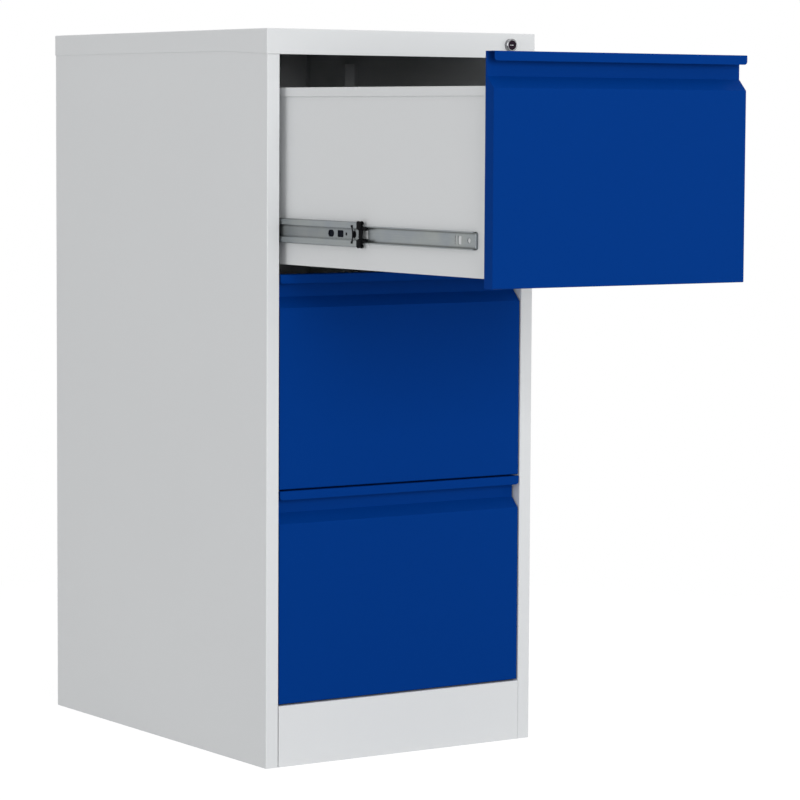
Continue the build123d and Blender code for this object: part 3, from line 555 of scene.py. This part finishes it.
def thickened(shape, thickness, facing):
    """Closed sheet whose drawn face is its outside; the web's outside faces along X.

    The flanges' cut edges get the second material; on the plain members it is a near-black painted
    shadow line.
    """
    bmesh.ops.remove_doubles(shape, verts=shape.verts, dist=WELD)
    bmesh.ops.recalc_face_normals(shape, faces=shape.faces)
    web = max(shape.faces, key=lambda face: abs(face.normal.x) * face.calc_area())
    if web.normal.x * facing < 0:
        bmesh.ops.reverse_faces(shape, faces=shape.faces)
    mesh = bpy.data.meshes.new("sheet")
    shape.to_mesh(mesh)
    shape.free()
    holder = bpy.data.objects.new("sheet", mesh)
    bpy.context.scene.collection.objects.link(holder)
    solidify = holder.modifiers.new("thickness", "SOLIDIFY")
    solidify.thickness = thickness
    solidify.offset = -1
    solidify.use_even_offset = True
    solidify.material_offset_rim = 1
    solid = bmesh.new()
    solid.from_object(holder, bpy.context.evaluated_depsgraph_get())
    bpy.data.objects.remove(holder)
    bpy.data.meshes.remove(mesh)
    for face in solid.faces:
        if abs(face.normal.x) < EDGE_FACING:
            face.material_index = 0
    return solid


def flip_side(verts):
    """Turns a left piece's corners into the right one's."""
    for vert in verts:
        vert.co.x = -vert.co.x


def add_other_side(shape):
    """Adds the right side's copy of what is drawn for the left side."""
    drawn = shape.verts[:] + shape.edges[:] + shape.faces[:]
    copied = bmesh.ops.duplicate(shape, geom=drawn)["geom"]
    flip_side([element for element in copied if isinstance(element, bmesh.types.BMVert)])


def other_side(shape):
    """The right side's copy of a left piece."""
    copied = shape.copy()
    flip_side(copied.verts)
    return copied


def sort_faces(shape):
    """Orders the faces by their corners, because bevels leave them in a varying order."""
    shape.verts.index_update()
    corners = {face: [vert.index for vert in face.verts] for face in shape.faces}
    ranks = {face: rank for rank, face in enumerate(sorted(corners, key=corners.get))}
    shape.faces.sort(key=ranks.get)


def add_piece(name, shape, body, materials, replaced=(), smooth=False):
    """Mesh object with its finish, which rides on a body and stands for CAD nodes."""
    bmesh.ops.recalc_face_normals(shape, faces=shape.faces)
    sort_faces(shape)
    mesh = bpy.data.meshes.new(name)
    shape.to_mesh(mesh)
    shape.free()
    if smooth:
        mesh.shade_smooth()
        mesh.set_sharp_from_angle(angle=math.radians(SMOOTH_ANGLE))
    for material in materials:
        mesh.materials.append(material)
    piece = bpy.data.objects.new(name, mesh)
    bpy.context.scene.collection.objects.link(piece)
    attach(piece, body)
    if replaced:
        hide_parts(*replaced)


def slide_place(seat, middle):
    """Maps distance from the slide's seat, depth and height from its middle to the frame."""
    return lambda distance, depth, height: (seat + distance, depth, middle + height)


def member(number, kind):
    """Box of a left slide member from the slide's seat and middle height, and that place."""
    low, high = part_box(f"slide_{number}_left_cabinet_member")
    origin = Vector((low.x + HOOK_REACH, 0, (low.z + high.z) / 2))
    low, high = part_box(f"slide_{number}_left_{kind}_member")
    return low - origin, high - origin, slide_place(origin.x, origin.z)


def channel(place, corners, radii, ends, holes=(), nose=()):
    """Bent channel between two depths; the corners run from the upper lip to the web."""
    start, end = ends
    web = corners[-1][0]
    upper = rounded_route([*corners, (web, 0)], radii)[:-1]
    lower = [Vector((point.x, -point.y)) for point in upper]
    shape = bmesh.new()
    add_strip(shape, upper, start, end, place)
    add_strip(shape, lower, start, end, place)
    edge = upper[-1].y
    front = list(nose) + [(depth, -height) for depth, height in reversed(nose)]
    outline = [(end, edge), (start, edge), *front, (start, -edge), (end, -edge)]
    add_plate(shape, [outline, *holes], lambda depth, height: place(web, depth, height))
    return shape


def cabinet_channel(number):
    """Fixed member: plain channel with its two hooks."""
    low, high, place = member(number, "cabinet")
    corners = [(high.x, high.z - MEMBER_LIP), (high.x, high.z), (0, high.z)]
    shape = channel(place, corners, [SLIDE_FOLD] * 2, (low.y, high.y))
    solid = thickened(shape, SLIDE_SHEET, -1)
    for depth in (low.y + HOOK_FRONT_AT, high.y - HOOK_REAR_AT):
        add_block(
            solid,
            place(-HOOK_REACH, depth - HOOK_WIDTH / 2, -HOOK_HEIGHT / 2),
            place(SLIDE_SHEET / 2, depth + HOOK_WIDTH / 2, HOOK_HEIGHT / 2),
            SMALL_CORNER,
        )
    return solid


def middle_channel(number):
    """Middle member: two raised rails, and a sunk web with its openings in the second material, a
    darker copy of the zinc that paints the web's shade.
    """
    low, high, place = member(number, "middle")
    front = low.y + MIDDLE_TONGUE
    rail_edge = high.z - MIDDLE_RAIL
    web_edge = rail_edge - MIDDLE_RECESS
    corners = [
        (high.x, high.z - MIDDLE_LIP),
        (high.x, high.z),
        (low.x, high.z),
        (low.x, rail_edge),
        (low.x + MIDDLE_RECESS, web_edge),
    ]
    ring = WEB_HOLE_HEIGHT / 2
    clip_ends = (front + CLIP_HOLE_FRONT, front + CLIP_HOLE_REAR)
    holes = [
        opening(*clip_ends, WEB_HOLE_HEIGHT, ring, SMALL_CORNER),
        hole(front + NOTCH_HOLE_AT, NOTCH_HOLE, NOTCH_HOLE, SMALL_CORNER),
        hole(front + SQUARE_HOLE_AT, WEB_HOLE_LENGTH, WEB_HOLE_HEIGHT, SQUARE_HOLE_CORNER),
        hole(front + ROUND_HOLE_AT, WEB_HOLE_LENGTH, WEB_HOLE_HEIGHT, ring),
    ]
    tongue_edge = web_edge - WEB_FOLD
    nose = [
        (front, tongue_edge),
        (low.y + SMALL_CORNER, tongue_edge),
        (low.y, tongue_edge - SMALL_CORNER),
    ]
    folds = [SLIDE_FOLD, SLIDE_FOLD, RAIL_FOLD, WEB_FOLD]
    shape = channel(place, corners, folds, (front, high.y), holes, nose)
    solid = thickened(shape, SLIDE_SHEET, -1)
    middle = place(0, 0, 0)[2]
    # painted shade: the sunk web's faces take the second, darker zinc
    for face in solid.faces:
        height = abs(face.calc_center_median().z - middle)
        if abs(face.normal.x) > EDGE_FACING and height < web_edge:
            face.material_index = 1
    return solid


def drawer_channel(number):
    """Inner member on the drawer wall: its web runs on to a turned-out lip in front."""
    low, high, place = member(number, "drawer")
    slide_front = low.y + INNER_TONGUE
    flange_front = slide_front + INNER_TONGUE
    corners = [(low.x, high.z), (high.x, high.z)]
    window = {"height": WINDOW_HEIGHT, "radius": SMALL_CORNER}
    holes = [
        hole(slide_front + SCREW_HOLE_AT, SCREW_HOLE, SCREW_HOLE, SCREW_HOLE / 2),
        hole(slide_front + WINDOW_AT, WINDOW_LENGTH, **window),
        hole(slide_front + SLIT_AT, SLIT_LENGTH, **window),
        hole(slide_front + ACCESS_AT, ACCESS_LENGTH, **window),
    ]
    tongue_rear = flange_front - FOLD_RELIEF
    nose = [
        (tongue_rear, high.z - SLIDE_FOLD),
        (tongue_rear, high.z),
        (low.y + INNER_CORNER, high.z),
        (low.y + SLIDE_SHEET / 2, high.z - INNER_CORNER),
    ]
    shape = channel(place, corners, [SLIDE_FOLD], (flange_front, high.y), holes, nose)
    solid = thickened(shape, SLIDE_SHEET, 1)
    lip_half = high.z - INNER_CORNER
    add_block(
        solid,
        place(high.x - SLIDE_SHEET - INNER_LIP, low.y, -lip_half),
        place(high.x, low.y + SLIDE_SHEET, lip_half),
        INNER_LIP_EDGE,
    )
    return solid


def add_members(number, plain, railed):
    """The three members of both slides of a drawer, each with a pair of finishes."""
    kinds = {
        "cabinet": (cabinet_channel, "cabinet", plain),
        "middle": (middle_channel, f"slide_{number}_middle", railed),
        "drawer": (drawer_channel, f"drawer_{number}", plain),
    }
    for kind, (build, body, finishes) in kinds.items():
        left = build(number)
        shapes = {"right": other_side(left), "left": left}
        for side, shape in shapes.items():
            name = f"slide_{number}_{side}_{kind}_channel"
            node = f"slide_{number}_{side}_{kind}_member"
            add_piece(name, shape, body, finishes, [node])


def cage_strip(place, seat, reach, edge, ends, ball_distance, ball_depths, ball_radius):
    """Bent strip of a ball cage, made one pocket at a time from front to rear."""
    bend = rounded_route([(reach, edge), (seat, edge), (seat, 0)], [CAGE_FOLD])[1:-1]
    flange_start = bend[0].x
    web_edge = bend[-1].y
    between = [(near + far) / 2 for near, far in zip(ball_depths, ball_depths[1:])]
    borders = [ends[0], *between, ends[1]]
    pocket = ring_points(ball_radius + BALL_GAP, TURN_STEPS)
    shape = bmesh.new()
    for start, end, ball_depth in zip(borders, borders[1:], ball_depths):
        flange = [(flange_start, start), (flange_start, end), (reach, end), (reach, start)]
        around = [(ball_distance + across, ball_depth + along) for across, along in pocket]
        for side in (-1, 1):
            add_strip(shape, [Vector((p.x, side * p.y)) for p in bend], start, end, place)
            add_plate(shape, [flange, around], lambda x, depth, h=side * edge: place(x, depth, h))
        web = [(start, web_edge), (end, web_edge), (end, -web_edge), (start, -web_edge)]
        add_plate(shape, [web], lambda depth, height: place(seat, depth, height))
    return thickened(shape, CAGE_SHEET, -1)


def ball_row(place, distance, depths, heights, radius):
    """Balls of a cage on one side."""
    shape = bmesh.new()
    for depth in depths:
        for height in heights:
            spot = Matrix.Translation(place(distance, depth, height))
            bmesh.ops.create_icosphere(shape, subdivisions=BALL_STEPS, radius=radius, matrix=spot)
    return shape


def add_cages(number, layer, outside, inside, web, black, ball_metal):
    """Both cages between an outside and an inside member, with their balls."""
    outer_high, place = member(number, outside)[1:]
    inner_high = member(number, inside)[1]
    race = outer_high.z - SLIDE_SHEET
    ball_height = (race + inner_high.z) / 2
    radius = (race - inner_high.z) / 2 - RUNNING
    seat = web + SLIDE_SHEET + RUNNING
    distance = (seat + CAGE_SHEET + outer_high.x - SLIDE_SHEET) / 2
    reach = distance + radius + BALL_GAP + CAGE_RIM
    body = f"slide_{number}_{layer}_cages"
    node = f"slide_{number}_{layer}_ball_cages"
    low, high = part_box(node)
    pitch = (high.y - low.y - 2 * ROW_INSET) / (BALLS_IN_ROW - 1)
    depths = [low.y + ROW_INSET + pitch * step for step in range(BALLS_IN_ROW)]
    edge = ball_height + CAGE_SHEET / 2
    strips = cage_strip(place, seat, reach, edge, (low.y, high.y), distance, depths, radius)
    balls = ball_row(place, distance, depths, (-ball_height, ball_height), radius)
    add_other_side(strips)
    add_other_side(balls)
    name = f"slide_{number}_{layer}"
    add_piece(f"{name}_cage_strips", strips, body, (black, black), [node])
    add_piece(f"{name}_balls", balls, body, (ball_metal,), smooth=True)


def clip_depth(height):
    """How far the clip's band lies behind its stem at a height."""
    return CLIP_BOW * (2 * height / CLIP_HEIGHT) ** 2


def add_clip(shape, place, outside, rear, behind):
    """Sprung band over the rails with a pad at each end, and its stem through the web."""
    start = rear + CLIP_AT
    face = outside + CLIP_THICKNESS
    half = (CLIP_HEIGHT - PAD_HEIGHT) / 2
    rows = []
    for step in range(CLIP_STEPS + 1):
        height = half * (2 * step / CLIP_STEPS - 1)
        near = start + clip_depth(height)
        far = near + CLIP_WIDTH
        corners = [(outside, near), (outside, far), (face, far), (face, near)]
        rows.append([shape.verts.new(place(x, depth, height)) for x, depth in corners])
    for below, above in zip(rows, rows[1:]):
        add_band(shape, below, above)
    shape.faces.new(rows[0])
    shape.faces.new(rows[-1])
    pad_at = start + clip_depth(half) + CLIP_WIDTH / 2
    for height in (-half, half):
        add_block(
            shape,
            place(outside - CLIP_THICKNESS / 2, pad_at - PAD_LENGTH / 2, height - PAD_HEIGHT / 2),
            place(face, pad_at + PAD_LENGTH / 2, height + PAD_HEIGHT / 2),
            PAD_EDGE,
        )
    stem = CLIP_STEM / 2
    add_block(
        shape,
        place(outside, start, -stem),
        place(behind + RETAINER_PLATE / 2, start + CLIP_WIDTH, stem),
        RETAINER_EDGE,
    )


def add_knob(shape, place, seat, front, rear, height):
    """Bobbin-shaped knob of a retainer: a collar at both ends and a neck between."""
    x, _, z = place(seat + KNOB_RADIUS, 0, height)
    collar_rear = front + COLLAR_LENGTH
    profile = [
        (0, front),
        (KNOB_RADIUS - RETAINER_EDGE, front),
        (KNOB_RADIUS, front + RETAINER_EDGE),
        (KNOB_RADIUS, collar_rear),
        (KNOB_NECK, collar_rear + KNOB_RADIUS - KNOB_NECK),
    ]
    profile += [(radius, front + rear - depth) for radius, depth in reversed(profile)]
    add_turned(shape, profile, x, z)


def end_retainer(number):
    """Left moulded stop on the front of a middle member."""
    low, high, place = member(number, "middle")
    seat = low.x
    rear = low.y + MIDDLE_TONGUE
    front = rear - RETAINER_LENGTH
    tip = member(number, "drawer")[0].x - RUNNING
    behind = tip - RETAINER_PLATE
    edge = RETAINER_EDGE
    waist = high.z - MIDDLE_RAIL - MIDDLE_RECESS
    knob_at = high.z - KNOB_RADIUS / 2
    plate = high.z - edge
    tail = waist - edge
    tail_rear = rear + RETAINER_TAIL
    prong_front = front - PRONG_LENGTH
    shape = bmesh.new()
    add_block(shape, place(behind, front, -plate), place(tip, rear, plate), PLATE_EDGE)
    add_block(shape, place(behind, rear - edge, -tail), place(tip, tail_rear, tail), PLATE_EDGE)
    for side in (-1, 1):
        add_knob(shape, place, seat, front, rear, side * knob_at)
        below, above = sorted((side * waist, side * knob_at))
        add_block(shape, place(seat, front, below), place(tip, rear, above), edge)
        below, above = sorted((side * (PRONG_EDGE - PRONG_HEIGHT), side * PRONG_EDGE))
        add_block(
            shape,
            place(tip - PRONG_DEPTH, prong_front, below),
            place(tip, front + edge, above),
            PRONG_ROUNDING,
        )
    add_clip(shape, place, seat - CLIP_THICKNESS, rear, behind)
    return shape


def add_retainers(number, black):
    """Left and right retainers of a drawer's slides."""
    shape = end_retainer(number)
    add_other_side(shape)
    name = f"slide_{number}_moulded_retainers"
    node = f"slide_{number}_end_retainers"
    body = f"slide_{number}_middle"
    add_piece(name, shape, body, (black,), [node], smooth=True)


def lock_axis():
    """Middle of the lock across the cabinet, and its height."""
    low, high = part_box("lock_plug")
    return (low.x + high.x) / 2, (low.z + high.z) / 2


def add_lock_housing(nickel):
    """Turned barrel with a rounded bezel in front and a threaded stem behind the fascia."""
    low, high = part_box("lock_housing")
    fascia = low.y + BEZEL_PROUD
    root = BARREL_RADIUS - THREAD_DEPTH
    profile = [
        (BORE_RADIUS, high.y),
        (BORE_RADIUS, low.y + BORE_EDGE),
        (BORE_RADIUS + BORE_EDGE, low.y),
        *rounded_rim(BEZEL_RADIUS, low.y, BEZEL_ROUND),
        (BEZEL_RADIUS, fascia),
        (BARREL_RADIUS, fascia),
    ]
    for turn in range(int((high.y - fascia) / THREAD_PITCH)):
        start = fascia + turn * THREAD_PITCH
        profile.append((root, start + THREAD_PITCH / 4))
        profile.append((BARREL_RADIUS, start + THREAD_PITCH * 3 / 4))
    profile.append((root, high.y))
    shape = bmesh.new()
    add_turned(shape, profile, *lock_axis(), steps=2 * TURN_STEPS, closed=True)
    name = "lock_barrel"
    add_piece(name, shape, "cabinet", (nickel,), ["lock_housing"], smooth=True)


def add_lock_plug(metal):
    """Turning plug with a keyway in its face."""
    x, z = lock_axis()
    low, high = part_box("lock_plug")
    face = low.y
    rear = high.y
    radius = (high.x - low.x) / 2
    steps = 2 * TURN_STEPS
    outer = ring_points(radius - PLUG_EDGE, steps)
    slot = hole(0, KEYWAY_LENGTH, KEYWAY_WIDTH, KEYWAY_CORNER)
    shape = bmesh.new()
    add_plate(shape, [outer, slot], lambda across, height: (x + across, face, z + height))
    near, far = [
        [shape.verts.new((x + point.x, depth, z + point.y)) for point in slot]
        for depth in (face, face + KEYWAY_DEPTH)
    ]
    add_band(shape, near, far)
    shape.faces.new(far)
    profile = [(radius - PLUG_EDGE, face), (radius, face + PLUG_EDGE), (radius, rear), (0, rear)]
    add_turned(shape, profile, x, z, steps)
    bmesh.ops.remove_doubles(shape, verts=shape.verts, dist=WELD)
    name = "lock_core_plug"
    add_piece(name, shape, "lock_cylinder", (metal,), ["lock_plug"], smooth=True)


def add_shutter(metal):
    """Spring shutter inside the keyway."""
    x, z = lock_axis()
    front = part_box("lock_plug")[0].y + SHUTTER_DEPTH
    half_length = KEYWAY_LENGTH / 2 - SHUTTER_GAP
    half_width = KEYWAY_WIDTH / 2 - SHUTTER_GAP
    shape = bmesh.new()
    add_block(
        shape,
        (x - half_length, front, z - half_width),
        (x + half_length, front + SHUTTER_THICKNESS, z + half_width),
        SHUTTER_EDGE,
    )
    add_piece("lock_shutter", shape, "lock_cylinder", (metal,), smooth=True)


def seen_by_eye(tree):
    """One for what the camera sees straight, in a mirror or through glass."""
    path = tree.nodes.new("ShaderNodeLightPath")
    total = path.outputs["Is Camera Ray"]
    for ray in ("Is Glossy Ray", "Is Transmission Ray"):
        either = tree.nodes.new("ShaderNodeMath")
        either.operation = "MAXIMUM"
        tree.links.new(total, either.inputs[0])
        tree.links.new(path.outputs[ray], either.inputs[1])
        total = either.outputs[0]
    return total


def mix_shaders(tree, factor, first, second):
    """Blend of two shaders."""
    mix = tree.nodes.new("ShaderNodeMixShader")
    for source, socket in zip((factor, first, second), mix.inputs):
        tree.links.new(source, socket)
    return mix.outputs[0]


def plain_shader(tree, kind, colour=WHITE, strength=None):
    """Matt, glowing or background shader of one colour."""
    node = tree.nodes.new(kind)
    node.inputs["Color"].default_value = (*colour, 1)
    if strength is not None:
        node.inputs["Strength"].default_value = strength
    return node.outputs[0]


def make_floor():
    """Pale floor, white to the camera but for the cabinet's soft shadow."""
    mesh = bpy.data.meshes.new("studio_floor")
    shape = bmesh.new()
    bmesh.ops.create_circle(shape, cap_ends=True, segments=FLOOR_STEPS, radius=FLOOR_RADIUS)
    shape.to_mesh(mesh)
    shape.free()
    floor = bpy.data.objects.new("studio_floor", mesh)
    bpy.context.scene.collection.objects.link(floor)
    material = bpy.data.materials.new("studio_floor")
    tree, surface = empty_tree(material, "ShaderNodeOutputMaterial")
    shaded = tree.nodes.new("ShaderNodeAddShader")
    lift = plain_shader(tree, "ShaderNodeEmission", strength=SHADOW_LIFT)
    tree.links.new(plain_shader(tree, "ShaderNodeBsdfDiffuse", SHADOW_COLOUR), shaded.inputs[0])
    tree.links.new(lift, shaded.inputs[1])
    length = tree.nodes.new("ShaderNodeVectorMath")
    length.operation = "LENGTH"
    tree.links.new(object_point(tree), length.inputs[0])
    away = remap(tree, length.outputs["Value"], 0, 1, SHADOW_REACH)
    white = plain_shader(tree, "ShaderNodeEmission", strength=1)
    shown = mix_shaders(tree, away, shaded.outputs[0], white)
    pale = plain_shader(tree, "ShaderNodeBsdfDiffuse", FLOOR_COLOUR)
    tree.links.new(mix_shaders(tree, seen_by_eye(tree), pale, shown), surface)
    mesh.materials.append(material)


def make_world():
    """White backdrop, and a plain soft light all round."""
    world = bpy.data.worlds.new("studio")
    bpy.context.scene.world = world
    tree, surface = empty_tree(world, "ShaderNodeOutputWorld")
    light = plain_shader(tree, "ShaderNodeBackground", strength=AMBIENT)
    white = plain_shader(tree, "ShaderNodeBackground", strength=1)
    tree.links.new(mix_shaders(tree, seen_by_eye(tree), light, white), surface)


def area_lamp(name, place, power):
    """Soft square lamp that faces the cabinet."""
    data = bpy.data.lights.new(name, "AREA")
    data.size = LAMP_SIZE
    data.energy = power
    lamp = bpy.data.objects.new(name, data)
    lamp.location = place
    away = Vector(place) - Vector(LIGHT_TARGET)
    lamp.rotation_euler = away.to_track_quat("Z", "Y").to_euler()
    lamp.visible_camera = False
    bpy.context.scene.collection.objects.link(lamp)


def make_camera():
    """Camera at the photograph's place, direction and focal length."""
    yaw, pitch, roll = map(math.radians, (CAMERA_YAW, CAMERA_PITCH, CAMERA_ROLL))
    heading = Vector((math.sin(yaw), math.cos(yaw), 0))
    ahead = math.cos(pitch) * heading - math.sin(pitch) * Vector((0, 0, 1))
    level = Vector((math.cos(yaw), -math.sin(yaw), 0))
    upright = level.cross(ahead)
    right = math.cos(roll) * level + math.sin(roll) * upright
    up = math.cos(roll) * upright - math.sin(roll) * level
    data = bpy.data.cameras.new("camera")
    data.sensor_width = SENSOR
    data.lens = SENSOR * FOCAL_PIXELS / IMAGE_PIXELS
    data.clip_end = CAMERA_REACH
    camera = bpy.data.objects.new("camera", data)
    turn = Matrix((right, up, -ahead)).transposed().to_4x4()
    camera.matrix_world = Matrix.Translation(CAMERA_AT) @ turn
    bpy.context.scene.collection.objects.link(camera)
    bpy.context.scene.camera = camera


def add_slides(zinc):
    """Slides of every drawer."""
    # painted shadow: the cut edges are near-black to draw the shadow line along the flanges
    cut_edge_shade = turned_metal("cut_edge_shade", CUT_EDGE_SHADE, CUT_ROUGHNESS)
    rail_zinc = zinc_plate("rail_zinc_plate", *RAIL_SHADES)
    # painted shade: the middle members' sunk web gets a darker copy of the zinc
    shaded_web_zinc = zinc_plate("web_zinc_plate", *WEB_SHADES)
    cage_black = moulding("black_cage", CAGE_BLACK)
    ball_metal = turned_metal("ball_steel", BALL_STEEL, BALL_ROUGHNESS)
    black = moulding("black_moulding", BLACK_MOULDING)
    for number in DRAWERS:
        middle_web = member(number, "middle")[0].x + MIDDLE_RECESS
        add_members(number, (zinc, cut_edge_shade), (rail_zinc, shaded_web_zinc))
        add_cages(number, "outer", "cabinet", "middle", 0, cage_black, ball_metal)
        add_cages(number, "inner", "middle", "drawer", middle_web, cage_black, ball_metal)
        add_retainers(number, black)


def add_lock():
    """Barrel, plug and shutter of the lock."""
    add_lock_housing(turned_metal("lock_nickel", LOCK_NICKEL, BEZEL_ROUGHNESS))
    add_lock_plug(turned_metal("lock_face", LOCK_FACE, CORE_ROUGHNESS))
    add_shutter(turned_metal("lock_shutter", LOCK_SHUTTER, CORE_ROUGHNESS))


bpy.context.scene.view_settings.view_transform = "Standard"
make_camera()
grey = powder_coat("grey_powder_coat", GREY_PAINT, GREY_PAINT_THIN, GREY_GLOSS)
blue = powder_coat("blue_powder_coat", BLUE_PAINT, BLUE_PAINT_THIN, BLUE_GLOSS)
zinc = zinc_plate("zinc_plate", *ZINC_SHADES)
dress_nodes(grey, blue, zinc)
add_slides(zinc)
add_lock()
make_floor()
make_world()
for lamp_name, (lamp_place, lamp_power) in LAMPS.items():
    area_lamp(lamp_name, lamp_place, lamp_power)
